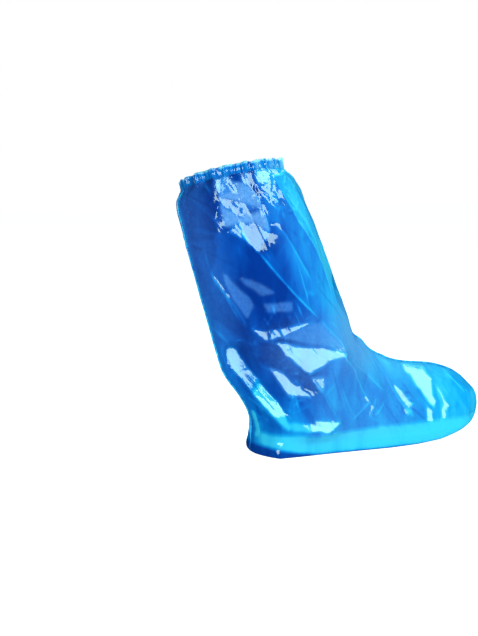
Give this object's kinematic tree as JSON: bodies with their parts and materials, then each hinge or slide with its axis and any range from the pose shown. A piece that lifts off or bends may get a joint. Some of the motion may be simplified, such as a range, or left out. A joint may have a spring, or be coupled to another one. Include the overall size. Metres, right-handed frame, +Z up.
{
  "type": "shoe cover",
  "caption": "Knee-low disposable cover for a shoe and lower leg: two welded film panels in the form of a boot, with a gathered elastic hem round the top.",
  "frame": {"origin": "on the inside of the sole, in the middle plane, 85 mm in front of the heel end: where the shoe inside stands", "axes": "+X from the heel to the toe, +Z up, +Y towards the inner panel; the outer panel is at -Y"},
  "size_m": [0.4368, 0.1521, 0.3777],
  "materials": {
    "film": "glossy, crumpled translucent blue polyethylene film",
    "weld": "heat-welded film edge, lighter than the film",
    "hem_film": "doubled, finely puckered film",
    "elastic": "thin flat elastic, matt"
  },
  "bodies": {
    "root": {"outer_panel": "film", "inner_panel": "film", "seam_weld": "weld", "top_hem": "hem_film", "elastic_band": "elastic"}
  },
  "joints": []
}
